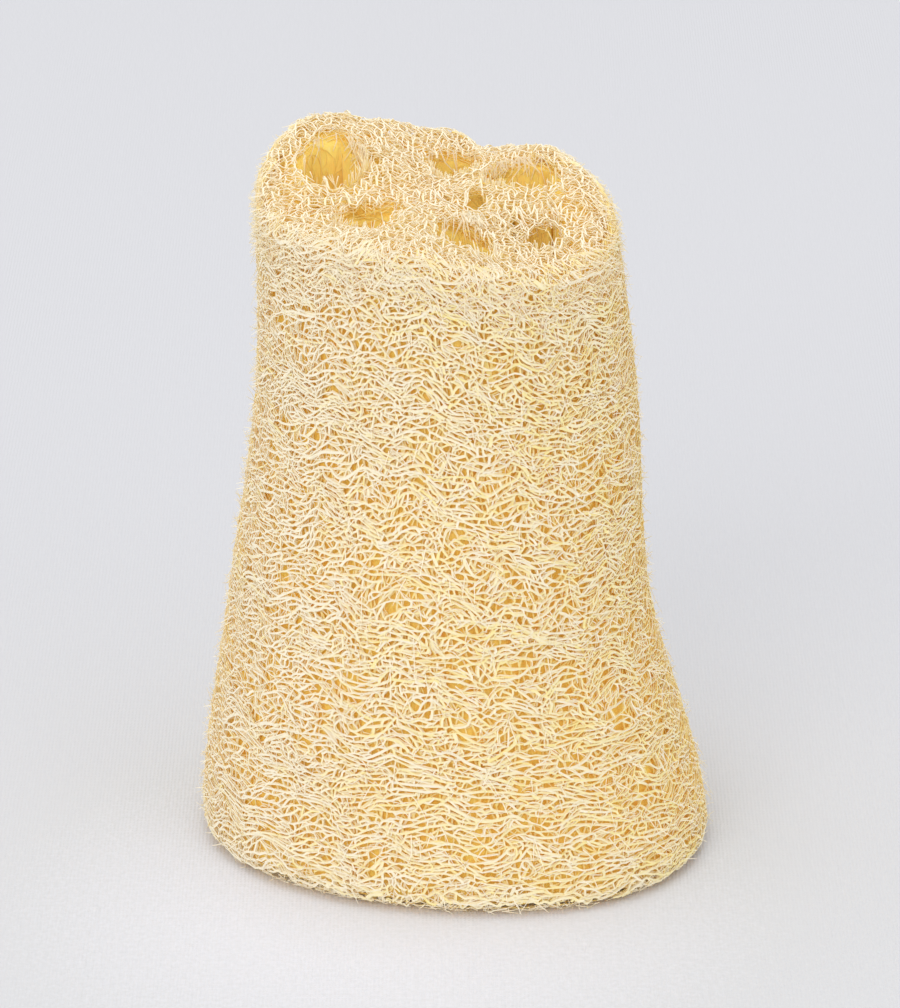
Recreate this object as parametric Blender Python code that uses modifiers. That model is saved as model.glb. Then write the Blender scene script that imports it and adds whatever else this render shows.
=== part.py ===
"""A natural loofah: a length cut from the dried fibre skeleton of a luffa fruit, standing on its wide end.

The skeleton is what is left of the fruit once its skin, flesh and seeds are gone. From the outside in it has
a net of cords that run round the fruit, a thick wall mat, three septa and three thinner partitions that meet
in a core, and six seed channels between them, each lined with threads that run along the fruit. Each of
these is one object. They lie a small clearance apart, where the real layers grow into each other.

Metres, +Z up. The origin is on the surface that the loofah stands on, under the middle of its outline.
Angles turn from +X, the loofah's right, towards +Y, its back.
"""

import math
import random
from collections import namedtuple

import bmesh
import bpy
from mathutils import Vector

MM = 0.001

# The fruit's outline, at four heights from the foot to the cut rim
LENGTH = 133 * MM
FLARE_HEIGHT = 50 * MM
WAIST_HEIGHT = 94 * MM
FOOT_WIDTH, FOOT_DEPTH = 100.5 * MM, 94 * MM
FLARE_WIDTH, FLARE_DEPTH = 83.5 * MM, 84 * MM
WAIST_WIDTH, WAIST_DEPTH = 75 * MM, 69 * MM
RIM_WIDTH, RIM_DEPTH = 69.5 * MM, 68 * MM
FLARE_LEAN, WAIST_LEAN, RIM_LEAN = -2.5 * MM, -0.9 * MM, -3.2 * MM

# What makes the outline uneven: soft ridges, and a heel that swells at the front right of the foot
RIDGE_COUNT = 5
RIDGE_HEIGHT = 0.4 * MM
RIDGE_TURN = math.radians(40)
HEEL_BULGE = 6.9 * MM
HEEL_ANGLE = math.radians(-43)
HEEL_SPREAD = math.radians(32)

# The cut at the top slopes down to the right and the front, with three low swells round it
CUT_SLOPE_RIGHT = -0.13
CUT_SLOPE_BACK = 0.11
CUT_DIP = 2.8 * MM
CUT_DIP_TURN = math.radians(28)

# How softly the outside turns in to the cut faces
RIM_ROUNDING = 4 * MM
FOOT_ROUNDING = 4 * MM
FOOT_DRAW = 3.2 * MM

# The outer net: ridged cords round six-sided gaps that are wider than they are high
NET_COLUMNS = 20
NET_ROWS = 14
CORD_WIDTH = 2.1 * MM
CORD_HEIGHT = 1.5 * MM
GAP_POINT = 0.30
NET_JITTER_ROUND = 1.5 * MM
NET_JITTER_UP = 0.9 * MM
NET_END_GAP = 0.4 * MM
NET_SEED = 7

# The wall mat, with lengthwise ribs on its outside
NET_CLEARANCE = 0.7 * MM
RIB_COUNT = 30
RIB_HEIGHT = 0.8 * MM

# Where the walls between the channels stand, and how thick each is halfway along a channel
SEPTUM_RIGHT_ANGLE, SEPTUM_RIGHT_THICKNESS = math.radians(1), 7 * MM
PARTITION_BACK_ANGLE, PARTITION_BACK_THICKNESS = math.radians(54), 2.8 * MM
SEPTUM_BACK_ANGLE, SEPTUM_BACK_THICKNESS = math.radians(118), 13 * MM
PARTITION_LEFT_ANGLE, PARTITION_LEFT_THICKNESS = math.radians(194), 10 * MM
SEPTUM_FRONT_ANGLE, SEPTUM_FRONT_THICKNESS = math.radians(258), 11 * MM
PARTITION_FRONT_ANGLE, PARTITION_FRONT_THICKNESS = math.radians(312), 5.5 * MM

# How near the fruit's middle each seed channel starts at the rim, and how deep it is towards the wall
BACK_RIGHT_START, BACK_RIGHT_DEPTH = 11 * MM, 16 * MM
BACK_START, BACK_DEPTH = 8.5 * MM, 14 * MM
BACK_LEFT_START, BACK_LEFT_DEPTH = 14 * MM, 12 * MM
FRONT_LEFT_START, FRONT_LEFT_DEPTH = 10 * MM, 14.5 * MM
FRONT_START, FRONT_DEPTH = 13 * MM, 13 * MM
FRONT_RIGHT_START, FRONT_RIGHT_DEPTH = 12.5 * MM, 14 * MM

CHANNEL_SPREAD = 1.22
CHANNEL_ROUNDNESS = 2.4
WALL_SHARE = 0.55
SIDE_STEPS = 6
HOLLOW_STEPS = 12
ARC_STEPS = 9
CLEARANCE = 0.4 * MM

# The threads that line each channel
LINING_CLEARANCE = 0.5 * MM
LINING_THICKNESS = 0.7 * MM
LINING_END_GAP = 0.5 * MM
LINING_THREAD_COUNT = 6
LINING_BAY_COUNT = 5
TIE_HEIGHT = 2.5 * MM

# The heights, as shares of the whole, where sections are taken
OUTSIDE_LEVELS = (0, 0.012, 0.032, 0.1, 0.2, 0.3, 0.4, 0.52, 0.64, 0.76, 0.88, 0.97, 0.988, 1)
INSIDE_LEVELS = (0, 0.33, 0.67, 1)

Section = namedtuple("Section", "height width depth lean")
Divider = namedtuple("Divider", "name angle thickness")
Channel = namedtuple("Channel", "name start depth low high")

SECTIONS = (
    Section(0, FOOT_WIDTH, FOOT_DEPTH, 0),
    Section(FLARE_HEIGHT, FLARE_WIDTH, FLARE_DEPTH, FLARE_LEAN),
    Section(WAIST_HEIGHT, WAIST_WIDTH, WAIST_DEPTH, WAIST_LEAN),
    Section(LENGTH, RIM_WIDTH, RIM_DEPTH, RIM_LEAN),
)

DIVIDERS = (
    Divider("septum_right", SEPTUM_RIGHT_ANGLE, SEPTUM_RIGHT_THICKNESS),
    Divider("partition_back", PARTITION_BACK_ANGLE, PARTITION_BACK_THICKNESS),
    Divider("septum_back", SEPTUM_BACK_ANGLE, SEPTUM_BACK_THICKNESS),
    Divider("partition_left", PARTITION_LEFT_ANGLE, PARTITION_LEFT_THICKNESS),
    Divider("septum_front", SEPTUM_FRONT_ANGLE, SEPTUM_FRONT_THICKNESS),
    Divider("partition_front", PARTITION_FRONT_ANGLE, PARTITION_FRONT_THICKNESS),
)


# The fruit's outline


def along(field, z):
    """One measure of the fruit at height z, on a smooth curve through the four sections."""
    heights = [section.height for section in SECTIONS]
    values = [getattr(section, field) for section in SECTIONS]
    slopes = [0.0]
    for i in range(1, len(SECTIONS) - 1):
        slopes.append((values[i + 1] - values[i - 1]) / (heights[i + 1] - heights[i - 1]))
    slopes.append((values[-1] - values[-2]) / (heights[-1] - heights[-2]))
    i = 0
    while i < len(SECTIONS) - 2 and z > heights[i + 1]:
        i += 1
    span = heights[i + 1] - heights[i]
    t = min(max((z - heights[i]) / span, 0), 1)
    smooth = t * t * (3 - 2 * t)
    bend = slopes[i] * t * (1 - t) ** 2 - slopes[i + 1] * t * t * (1 - t)
    beyond = z - heights[-1] if z > heights[-1] else 0
    return values[i] + (values[i + 1] - values[i]) * smooth + span * bend + slopes[-1] * beyond


def plain_radius(angle, z):
    """How far the fruit reaches from its pole at this height, before its cut edge is softened."""
    half_width = along("width", z) / 2
    half_depth = along("depth", z) / 2
    oval = half_width * half_depth / math.hypot(half_depth * math.cos(angle), half_width * math.sin(angle))
    ridge = RIDGE_HEIGHT * math.cos(RIDGE_COUNT * angle + RIDGE_TURN)
    off_heel = math.remainder(angle - HEEL_ANGLE, math.tau) / HEEL_SPREAD
    heel = HEEL_BULGE * math.exp(-(off_heel**2)) * max(1 - z / LENGTH, 0) ** 2
    return oval + ridge + heel


def middle_of_foot():
    """The middle of the foot's outline, seen from its pole."""
    turns = [math.radians(degree) for degree in range(360)]
    across = [plain_radius(turn, 0) * math.cos(turn) for turn in turns]
    deep = [plain_radius(turn, 0) * math.sin(turn) for turn in turns]
    return (min(across) + max(across)) / 2, (min(deep) + max(deep)) / 2


FOOT_MIDDLE = middle_of_foot()


def from_pole(angle, radius, z):
    """The point this far from the pole, which leans a little to the left on its way up."""
    x = along("lean", z) - FOOT_MIDDLE[0] + radius * math.cos(angle)
    y = radius * math.sin(angle) - FOOT_MIDDLE[1]
    return Vector((x, y, z))


def cut_height(angle, rim_radius):
    """The height of the cut over one point of the rim's plan."""
    x = rim_radius * math.cos(angle)
    y = rim_radius * math.sin(angle)
    reach = min(rim_radius / (RIM_WIDTH / 2), 1)
    dip = CUT_DIP * reach * math.sin(3 * angle + CUT_DIP_TURN)
    return LENGTH + CUT_SLOPE_RIGHT * x + CUT_SLOPE_BACK * y + dip


def skin_point(angle, share, inset=0.0):
    """A point on the fruit's outside, or this far inside it, at a share of the way up to the cut."""
    top = cut_height(angle, plain_radius(angle, LENGTH) - RIM_ROUNDING)
    z = share * top
    near_rim = min(max((z - top) / RIM_ROUNDING + 1, 0), 1)
    near_foot = min(max(1 - z / FOOT_ROUNDING, 0), 1)
    softened = RIM_ROUNDING * quarter_round(near_rim) + FOOT_DRAW * quarter_round(near_foot)
    return from_pole(angle, plain_radius(angle, z) - softened - inset, z)


def quarter_round(near):
    """How far a rounded edge has turned in, from 0 where it starts to 1 at the cut face."""
    return 1 - math.sqrt(1 - near**2)


def inner_point(angle, rim_radius, share):
    """A point inside the fruit, on a straight line from the foot to where it comes out at the cut."""
    foot = from_pole(angle, rim_radius * CHANNEL_SPREAD, 0)
    rim = from_pole(angle, rim_radius, cut_height(angle, rim_radius))
    return foot.lerp(rim, share)


# The seed channels, and what stands between them


def make_channels():
    """The six channels, each between two dividers, from the front right of the right septum round to it."""
    sizes = (
        ("back_right", BACK_RIGHT_START, BACK_RIGHT_DEPTH),
        ("back", BACK_START, BACK_DEPTH),
        ("back_left", BACK_LEFT_START, BACK_LEFT_DEPTH),
        ("front_left", FRONT_LEFT_START, FRONT_LEFT_DEPTH),
        ("front", FRONT_START, FRONT_DEPTH),
        ("front_right", FRONT_RIGHT_START, FRONT_RIGHT_DEPTH),
    )
    channels = []
    for i, (name, start, depth) in enumerate(sizes):
        halfway = start + depth / 2
        before, after = DIVIDERS[i], DIVIDERS[(i + 1) % len(DIVIDERS)]
        full_turn = math.tau if i == len(sizes) - 1 else 0
        low = before.angle + before.thickness / 2 / halfway
        high = after.angle + full_turn - after.thickness / 2 / halfway
        channels.append(Channel(name, start, depth, low, high))
    return channels


CHANNELS = make_channels()


def superellipse(t):
    """The other side of the rounded square that each channel is, at 0 to 1 along this side."""
    return max(1 - abs(t) ** CHANNEL_ROUNDNESS, 0) ** (1 / CHANNEL_ROUNDNESS)


def channel_side(channel, sign, level):
    """(angle, radius at the rim) on a channel's side, for level -1 at its start to 1 at its far end."""
    middle = (channel.low + channel.high) / 2
    half_angle = (channel.high - channel.low) / 2
    radius = channel.start + channel.depth * (1 + level) / 2
    return middle + sign * half_angle * superellipse(level), radius


def divided_plan(outward):
    """The plan of the wall mat's inside (outward 1) or of the core (-1), as (angle, radius) pairs.

    It follows the far or near ends of the channels, joined by arcs.
    """
    edge = superellipse(WALL_SHARE)
    plan = []
    for i, channel in enumerate(CHANNELS):
        middle = (channel.low + channel.high) / 2
        half_angle = (channel.high - channel.low) / 2
        halfway = channel.start + channel.depth / 2
        for step in range(HOLLOW_STEPS + 1):
            across = edge * (2 * step / HOLLOW_STEPS - 1)
            radius = halfway + outward * channel.depth / 2 * superellipse(across)
            plan.append((middle + half_angle * across, radius))
        following = CHANNELS[(i + 1) % len(CHANNELS)]
        angle, radius = channel_side(following, -1, outward * WALL_SHARE)
        turn = math.tau if i == len(CHANNELS) - 1 else 0
        plan += between(plan[-1], (angle + turn, radius))
    return plan


def between(first, second):
    """The points of an arc that joins two (angle, radius) pairs, without the pairs themselves."""
    shares = [i / ARC_STEPS for i in range(1, ARC_STEPS)]
    return [
        (first[0] + share * (second[0] - first[0]), first[1] + share * (second[1] - first[1]))
        for share in shares
    ]


# Mesh making


def new_object(name, mesh, material):
    body = bpy.data.objects.new(name, mesh)
    body.data.materials.append(material)
    LOOFAH.objects.link(body)
    return body


def mesh_of(name, points, faces):
    mesh = bpy.data.meshes.new(name)
    mesh.from_pydata([tuple(point) for point in points], [], faces)
    work = bmesh.new()
    work.from_mesh(mesh)
    bmesh.ops.recalc_face_normals(work, faces=work.faces)
    work.to_mesh(mesh)
    work.free()
    return mesh


def band_faces(lower, upper, count):
    """The faces between two closed rows of points, given where each row starts."""
    return [
        (lower + i, lower + (i + 1) % count, upper + (i + 1) % count, upper + i)
        for i in range(count)
    ]


def loft(name, rows):
    """A solid through closed rows of points, from its foot to its top."""
    count = len(rows[0])
    points = [point for row in rows for point in row]
    faces = []
    for i in range(len(rows) - 1):
        faces += band_faces(i * count, (i + 1) * count, count)
    faces.append(tuple(range(count)))
    faces.append(tuple(range((len(rows) - 1) * count, len(rows) * count)))
    return mesh_of(name, points, faces)


def tube_loft(name, outside, inside):
    """A solid between an outer and an inner set of rows, open at both ends."""
    count = len(outside[0])
    points = [point for row in outside + inside for point in row]
    inner = len(outside) * count
    faces = []
    for i in range(len(outside) - 1):
        faces += band_faces(i * count, (i + 1) * count, count)
    for i in range(len(inside) - 1):
        faces += band_faces(inner + i * count, inner + (i + 1) * count, count)
    faces += band_faces(0, inner, count)
    faces += band_faces(inner - count, inner + (len(inside) - 1) * count, count)
    return mesh_of(name, points, faces)


def fibre_material(name, colour, roughness):
    material = bpy.data.materials.new(name)
    material.use_nodes = True
    shader = material.node_tree.nodes["Principled BSDF"]
    shader.inputs["Base Color"].default_value = (*colour, 1)
    shader.inputs["Roughness"].default_value = roughness
    shader.inputs["Metallic"].default_value = 0
    return material


# The outer net


def net_plan():
    """The net's nodes as (share round, share up), its cells, and each cell's middle.

    The cells are hexagons with a point to each side, in columns that are staggered by half a cell. The
    two outside faces, below and above, come last.
    """
    nodes, index, cells = [], {}, []
    column = 1 / NET_COLUMNS
    row = 1 / NET_ROWS
    point = GAP_POINT * column

    def node(across, up):
        key = (round(across % 1, 6) % 1, round(min(max(up, 0), 1), 6))
        if key not in index:
            index[key] = len(nodes)
            nodes.append(key)
        return index[key]

    for i in range(NET_COLUMNS):
        middle = i * column
        left, right = middle - column / 2, middle + column / 2
        offset = 0.5 * (i % 2)
        for j in range(NET_ROWS + i % 2):
            low = (j - offset) * row
            high = low + row
            half = (low + high) / 2
            corners = [(left - point, half), (left + point, low), (right - point, low)]
            corners += [(right + point, half), (right - point, high), (left + point, high)]
            cell = []
            for across, up in corners:
                corner = node(across, up)
                if corner not in cell:
                    cell.append(corner)
            cells.append(cell)
    return nodes, cells


def rim_walk(nodes, cells, up):
    """The closed walk of nodes along the net's lower (up 0) or upper (up 1) edge."""
    uses = {}
    for cell in cells:
        for a, b in zip(cell, cell[1:] + cell[:1]):
            uses.setdefault(frozenset((a, b)), []).append((a, b))
    lone = [pairs[0] for pairs in uses.values() if len(pairs) == 1]
    follow = {b: a for a, b in lone if nodes[a][1] == up and nodes[b][1] == up}
    start = next(iter(follow))
    walk = [start]
    while follow[walk[-1]] != start:
        walk.append(follow[walk[-1]])
    return walk


def jittered(nodes):
    """The nodes with a share of unevenness, which leaves the two edges level."""
    uneven = random.Random(NET_SEED)
    girth = math.pi * (FOOT_WIDTH + RIM_WIDTH) / 2
    moved = []
    for across, up in nodes:
        on_edge = up in (0, 1)
        sideways = uneven.uniform(-1, 1) * NET_JITTER_ROUND / girth
        upwards = 0 if on_edge else uneven.uniform(-1, 1) * NET_JITTER_UP / LENGTH
        moved.append((across + sideways, up + upwards))
    return moved


def low_corner(nodes, cell, i, outside):
    """Where a cord's foot stands at corner i of a cell: half a cord's width into the cell, or past the rim."""
    across, up = nodes[cell[i]]
    girth = math.pi * (along("width", up * LENGTH) + along("depth", up * LENGTH)) / 2
    if outside:
        sign = -1 if up < 0.5 else 1
        return across, up + sign * CORD_WIDTH / 2 / LENGTH
    here = Vector((across * girth, up * LENGTH))
    around = []
    for k in (i - 1, (i + 1) % len(cell)):
        far_across, far_up = nodes[cell[k]]
        step = math.remainder(far_across - across, 1) * girth
        around.append(Vector((step, (far_up - up) * LENGTH)).normalized())
    inward = around[0] + around[1]
    opening = abs(around[0].cross(around[1]))
    if inward.length < 1e-3:
        inward = Vector((-around[1].y, around[1].x))
        opening = 1
    # The foot lies half a cord's width from both of the corner's cords
    reach = CORD_WIDTH / 2 / max(opening, 0.5) * inward.length
    moved = here + inward.normalized() * reach
    return moved.x / girth, moved.y / LENGTH


def net_share(up):
    """A share of the way up the net as a share of the way up to the cut, clear of both cut ends."""
    margin = (NET_END_GAP + CORD_WIDTH / 2) / LENGTH
    return margin + up * (1 - 2 * margin)


def make_outer_net():
    """A net of ridged cords: each cord has a crest along its middle and a flat foot on the wall mat."""
    nodes, cells = net_plan()
    outside = [rim_walk(nodes, cells, 0), rim_walk(nodes, cells, 1)]
    nodes = jittered(nodes)
    faces_of_plan = [(cell, False) for cell in cells] + [(walk, True) for walk in outside]
    points = [skin_point(across * math.tau, net_share(up)) for across, up in nodes]
    foot = {}
    for number, (cell, is_outside) in enumerate(faces_of_plan):
        for i, corner in enumerate(cell):
            across, up = low_corner(nodes, cell, i, is_outside)
            foot[number, corner] = len(points)
            points.append(skin_point(across * math.tau, net_share(up), CORD_HEIGHT))
    faces, beside, around = [], {}, {}
    for number, (cell, _) in enumerate(faces_of_plan):
        for a, b in zip(cell, cell[1:] + cell[:1]):
            faces.append((a, b, foot[number, b], foot[number, a]))
            beside.setdefault(frozenset((a, b)), []).append((number, a, b))
            around.setdefault(a, {})[b] = number
    for (first, a, b), (second, _, _) in beside.values():
        faces.append((foot[first, a], foot[first, b], foot[second, b], foot[second, a]))
    for corner, leaving in around.items():
        faces.append(node_foot(corner, leaving, faces_of_plan, foot))
    return mesh_of("outer_net", points, faces)


def node_foot(corner, leaving, faces_of_plan, foot):
    """The flat foot under one node, whose corners are taken in order round the node."""
    start = next(iter(leaving))
    ring, towards = [], start
    while True:
        number = leaving[towards]
        ring.append(foot[number, corner])
        cell = faces_of_plan[number][0]
        towards = cell[cell.index(corner) - 1]
        if towards == start:
            return tuple(ring)


# The wall mat, the core and what divides the channels


def make_wall_mat():
    """The thick mat under the net, ribbed lengthwise outside and hollowed by the channels inside."""
    plan = divided_plan(1)
    deep = CORD_HEIGHT + NET_CLEARANCE
    outside = []
    for share in OUTSIDE_LEVELS:
        row = []
        for angle, _ in plan:
            rib = RIB_HEIGHT * (1 - math.cos(RIB_COUNT * angle)) / 2
            row.append(skin_point(angle, share, deep + rib))
        outside.append(row)
    inside = [[inner_point(*pair, share) for pair in plan] for share in INSIDE_LEVELS]
    return tube_loft("wall_mat", outside, inside)


def make_core():
    """The column in the fruit's middle, hollowed by the near ends of the channels."""
    plan = divided_plan(-1)
    return loft("core", [[inner_point(*pair, share) for pair in plan] for share in INSIDE_LEVELS])


def divider_outline(before, after):
    """The plan of what stands between two channels, at the rim, as (angle, radius) pairs."""
    steps = [2 * i / SIDE_STEPS - 1 for i in range(SIDE_STEPS + 1)]
    up_side = [channel_side(before, 1, WALL_SHARE * step) for step in steps]
    down_side = [channel_side(after, -1, -WALL_SHARE * step) for step in steps]
    turn = math.tau if down_side[0][0] < up_side[-1][0] else 0
    down_side = [(angle + turn, radius) for angle, radius in down_side]
    outer_end = between(up_side[-1], down_side[0])
    inner_end = between(down_side[-1], up_side[0])
    outline = up_side + outer_end + down_side + inner_end
    return [shortened(pair, outline) for pair in outline]


def shortened(pair, outline):
    """A point of a divider's plan, drawn in along the divider so that its ends clear the wall and the core."""
    radii = [radius for _, radius in outline]
    middle = (min(radii) + max(radii)) / 2
    away = (pair[1] - middle) / ((max(radii) - min(radii)) / 2)
    return pair[0], pair[1] - CLEARANCE * min(max(2 * away, -1), 1)


def make_divider(i):
    """A septum or partition, from the core to the wall mat."""
    before = CHANNELS[i - 1]
    outline = divider_outline(before, CHANNELS[i])
    rows = [[inner_point(*pair, share) for pair in outline] for share in INSIDE_LEVELS]
    return loft(DIVIDERS[i].name, rows)


# The channels' linings


def lining_row(channel, share):
    """A closed row of points round the inside of a channel, a clearance away from its wall."""
    count = 2 * LINING_THREAD_COUNT
    row = []
    for i in range(count):
        turn = math.tau * (i + 0.5) / count
        power = 2 / CHANNEL_ROUNDNESS
        across = math.copysign(abs(math.cos(turn)) ** power, math.cos(turn))
        level = math.copysign(abs(math.sin(turn)) ** power, math.sin(turn))
        half_angle = (channel.high - channel.low) / 2
        angle = (channel.low + channel.high) / 2 + half_angle * across
        radius = channel.start + channel.depth * (1 + level) / 2
        row.append(inner_point(angle, radius, share))
    middle = sum(row, Vector()) / count
    drawn_in = []
    for point, before, after in zip(row, row[-1:] + row[:-1], row[1:] + row[:1]):
        side = (after - before).cross(Vector((0, 0, 1))).normalized()
        outward = side if side.dot(point - middle) > 0 else -side
        drawn_in.append(point - outward * LINING_CLEARANCE)
    return drawn_in


def make_lining(channel):
    """Threads along the channel, tied at intervals: an open surface with slots, thickened inwards."""
    count = 2 * LINING_THREAD_COUNT
    end = LINING_END_GAP / LENGTH
    tie = TIE_HEIGHT / LENGTH
    bay = (1 - 2 * end - tie) / LINING_BAY_COUNT
    shares = []
    for i in range(LINING_BAY_COUNT + 1):
        shares += [end + i * bay, end + i * bay + tie]
    rows = [lining_row(channel, share) for share in shares]
    points = [point for row in rows for point in row]
    faces = []
    for level in range(len(shares) - 1):
        band = band_faces(level * count, (level + 1) * count, count)
        is_tie = level % 2 == 0
        faces += band if is_tie else band[::2]
    mesh = mesh_of("lining_" + channel.name, points, faces)
    return outward_facing(mesh, rows[0])


def outward_facing(mesh, first_row):
    """The mesh with its faces pointing away from the channel's middle, as Solidify needs."""
    middle = sum(first_row, Vector()) / len(first_row)
    face = mesh.polygons[0]
    away = face.center - middle
    away.z = 0
    if face.normal.dot(away) < 0:
        mesh.flip_normals()
    return mesh


def thicken(body):
    """Gives a lining its thickness, towards the channel."""
    wall = body.modifiers.new("thickness", "SOLIDIFY")
    wall.thickness = LINING_THICKNESS
    wall.offset = -1


# The whole loofah


def clear_scene():
    for body in list(bpy.data.objects):
        bpy.data.objects.remove(body)


clear_scene()
LOOFAH = bpy.data.collections.new("loofah")
bpy.context.scene.collection.children.link(LOOFAH)

cream = fibre_material("cream_cords", (0.84, 0.69, 0.43), 0.75)
straw = fibre_material("straw_mat", (0.78, 0.58, 0.28), 0.8)
golden = fibre_material("golden_threads", (0.76, 0.53, 0.20), 0.7)

new_object("outer_net", make_outer_net(), cream)
new_object("wall_mat", make_wall_mat(), straw)
new_object("core", make_core(), straw)
for position in range(len(DIVIDERS)):
    new_object(DIVIDERS[position].name, make_divider(position), straw)
for seed_channel in CHANNELS:
    thicken(new_object("lining_" + seed_channel.name, make_lining(seed_channel), golden))
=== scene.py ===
"""The looks of a natural loofah: its fibres, cut faces and channels, and the cloth that it stands on.

The frame gives the solids. Each layer of the fruit's skeleton becomes fibres laid along its surface, so the
outline here is worked out from the same sizes as the solids. Metres, +Z up, the front towards -Y.
"""

import math

import bmesh
import bpy
import numpy as np
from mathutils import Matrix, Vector
from mathutils.geometry import delaunay_2d_cdt


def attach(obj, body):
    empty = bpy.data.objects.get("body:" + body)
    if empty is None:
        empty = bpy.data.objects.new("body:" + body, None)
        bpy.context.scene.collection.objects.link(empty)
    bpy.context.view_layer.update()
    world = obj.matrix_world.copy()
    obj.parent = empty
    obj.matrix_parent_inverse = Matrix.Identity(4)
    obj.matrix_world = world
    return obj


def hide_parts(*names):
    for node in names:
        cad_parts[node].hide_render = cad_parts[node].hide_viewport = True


bl_info = {
    "name": "Natural loofah",
    "version": (1, 0, 0),
    "blender": (4, 5, 0),
    "location": "View3D > Sidebar > Loofah",
    "description": "Builds the fibres of a natural loofah round its solids, and a plain studio",
    "category": "Add Mesh",
}

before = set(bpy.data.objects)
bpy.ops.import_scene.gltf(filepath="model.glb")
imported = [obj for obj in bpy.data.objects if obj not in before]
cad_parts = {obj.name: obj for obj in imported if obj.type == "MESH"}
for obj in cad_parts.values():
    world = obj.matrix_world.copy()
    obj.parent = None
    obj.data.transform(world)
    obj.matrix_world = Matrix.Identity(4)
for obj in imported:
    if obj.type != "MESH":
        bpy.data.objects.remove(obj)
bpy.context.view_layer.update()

MM = 0.001

# The outline of the solids, at four heights from the foot to the cut rim
HEIGHTS = np.array((0, 50, 94, 133)) * MM
WIDTHS = np.array((100.5, 83.5, 75, 69.5)) * MM
DEPTHS = np.array((94, 84, 69, 68)) * MM
LEANS = np.array((0, -2.5, -0.9, -3.2)) * MM
LENGTH = HEIGHTS[-1]
RIDGE_COUNT, RIDGE_HEIGHT, RIDGE_TURN = 5, 0.4 * MM, math.radians(40)
HEEL_BULGE, HEEL_ANGLE, HEEL_SPREAD = 6.9 * MM, math.radians(-43), math.radians(32)
CUT_SLOPE_RIGHT, CUT_SLOPE_BACK = -0.13, 0.11
CUT_DIP, CUT_DIP_TURN = 2.8 * MM, math.radians(28)
RIM_ROUNDING, FOOT_ROUNDING, FOOT_DRAW = 4 * MM, 4 * MM, 3.2 * MM
# Where the cut lies higher or lower than on the solids, in mm (x, y, how far it reaches, height)
LUMPS = (
    (10, 31, 3.5, -2.4), (4, 31, 4.5, 1.8), (-6, 31, 6, 1.0), (24, 22, 5.5, 1.6),
    (-24, 24, 6, 0.9), (-20, -22, 6, 0.5), (14, -30, 6, -0.6), (-11, -20, 4, -1.0),
)
CHANNEL_SPREAD = 1.22
CHANNEL_ROUNDNESS = 2.4

# The dividers between the seed channels (angle in degrees, thickness in mm)
DIVIDERS = ((1, 7), (54, 2.8), (118, 13), (194, 10), (258, 11), (312, 5.5))
# Each channel (start and depth in mm from the pole, open share of its mouth)
CHANNELS = {
    "back_right": (11, 16, 0.97), "back": (8.5, 14, 0.93), "back_left": (14, 12, 1.04),
    "front_left": (10, 14.5, 1.0), "front": (13, 13, 0.95), "front_right": (12.5, 14, 0.9),
}
# How many fibres hang into each channel's mouth
HANGING = {"back_right": 70, "back": 45, "back_left": 90, "front_left": 4, "front": 25, "front_right": 20}
DIVIDER_NODES = (
    "septum_right", "partition_back", "septum_back",
    "partition_left", "septum_front", "partition_front",
)

UV_NAME = "OFBake"
LOWEST_FIBRE = 0.25 * MM
# How many fibres' ends lean along the fibre that they meet
JOINED_SHARE = 0.85
# How much golden the inner side of a fibre adds to its tone, as painted shade: that side faces into the
# fruit, away from the light, and is painted golden; and how far below pale a tone may be
PAINTED_SHADE_GOLD = 0.45
PALE_ROOM = 0.4
TONE_SPAN = 1 + PAINTED_SHADE_GOLD + PALE_ROOM
# Edges sharper than these angles stay sharp
FIBRE_EDGE, MAT_EDGE = math.radians(50), math.radians(40)


# Sizes and colours


class LoofahFibres(bpy.types.PropertyGroup):
    """What the fibres are like."""

    thickness: bpy.props.FloatProperty(
        name="Thickness", description="How thick an outer fibre is", default=0.33 * MM, unit="LENGTH"
    )
    pore: bpy.props.FloatProperty(
        name="Pore", description="How high the gaps of the outside are", default=1.09 * MM, unit="LENGTH"
    )
    stretch: bpy.props.FloatProperty(
        name="Stretch", description="How much wider than high the gaps of the outside are", default=1.7
    )
    loose_ends: bpy.props.IntProperty(
        name="Loose ends", description="How many fibre ends stand out of the outside", default=7200
    )
    pale: bpy.props.FloatVectorProperty(
        name="Pale", description="The colour of the outermost fibres",
        default=(0.925, 0.85, 0.665), subtype="COLOR",
    )
    straw: bpy.props.FloatVectorProperty(
        name="Straw", description="The colour of the fibres below them",
        default=(0.935, 0.815, 0.395), subtype="COLOR",
    )
    golden: bpy.props.FloatVectorProperty(
        name="Golden", description="The colour of the deepest fibres",
        default=(0.94, 0.735, 0.175), subtype="COLOR",
    )


class LoofahStudio(bpy.types.PropertyGroup):
    """What the loofah stands on, and its light."""

    cloth: bpy.props.FloatVectorProperty(
        name="Cloth", description="The colour of the cloth",
        default=(0.638, 0.645, 0.670), subtype="COLOR",
    )
    key_power: bpy.props.FloatProperty(
        name="Key light", description="The power of the soft light at the front", default=22, unit="POWER"
    )


# The outline


def along(values, z):
    """One measure of the fruit at heights z, on a smooth curve through the four sections."""
    slopes = np.zeros(4)
    slopes[1:3] = (values[2:] - values[:2]) / (HEIGHTS[2:] - HEIGHTS[:2])
    slopes[3] = (values[3] - values[2]) / (HEIGHTS[3] - HEIGHTS[2])
    i = np.clip(np.searchsorted(HEIGHTS, z) - 1, 0, 2)
    span = HEIGHTS[i + 1] - HEIGHTS[i]
    t = np.clip((z - HEIGHTS[i]) / span, 0, 1)
    smooth = t * t * (3 - 2 * t)
    bend = slopes[i] * t * (1 - t) ** 2 - slopes[i + 1] * t * t * (1 - t)
    beyond = slopes[3] * np.maximum(z - HEIGHTS[3], 0)
    return values[i] + (values[i + 1] - values[i]) * smooth + span * bend + beyond


def turn_between(angle, other):
    return np.mod(angle - other + math.pi, math.tau) - math.pi


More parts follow.
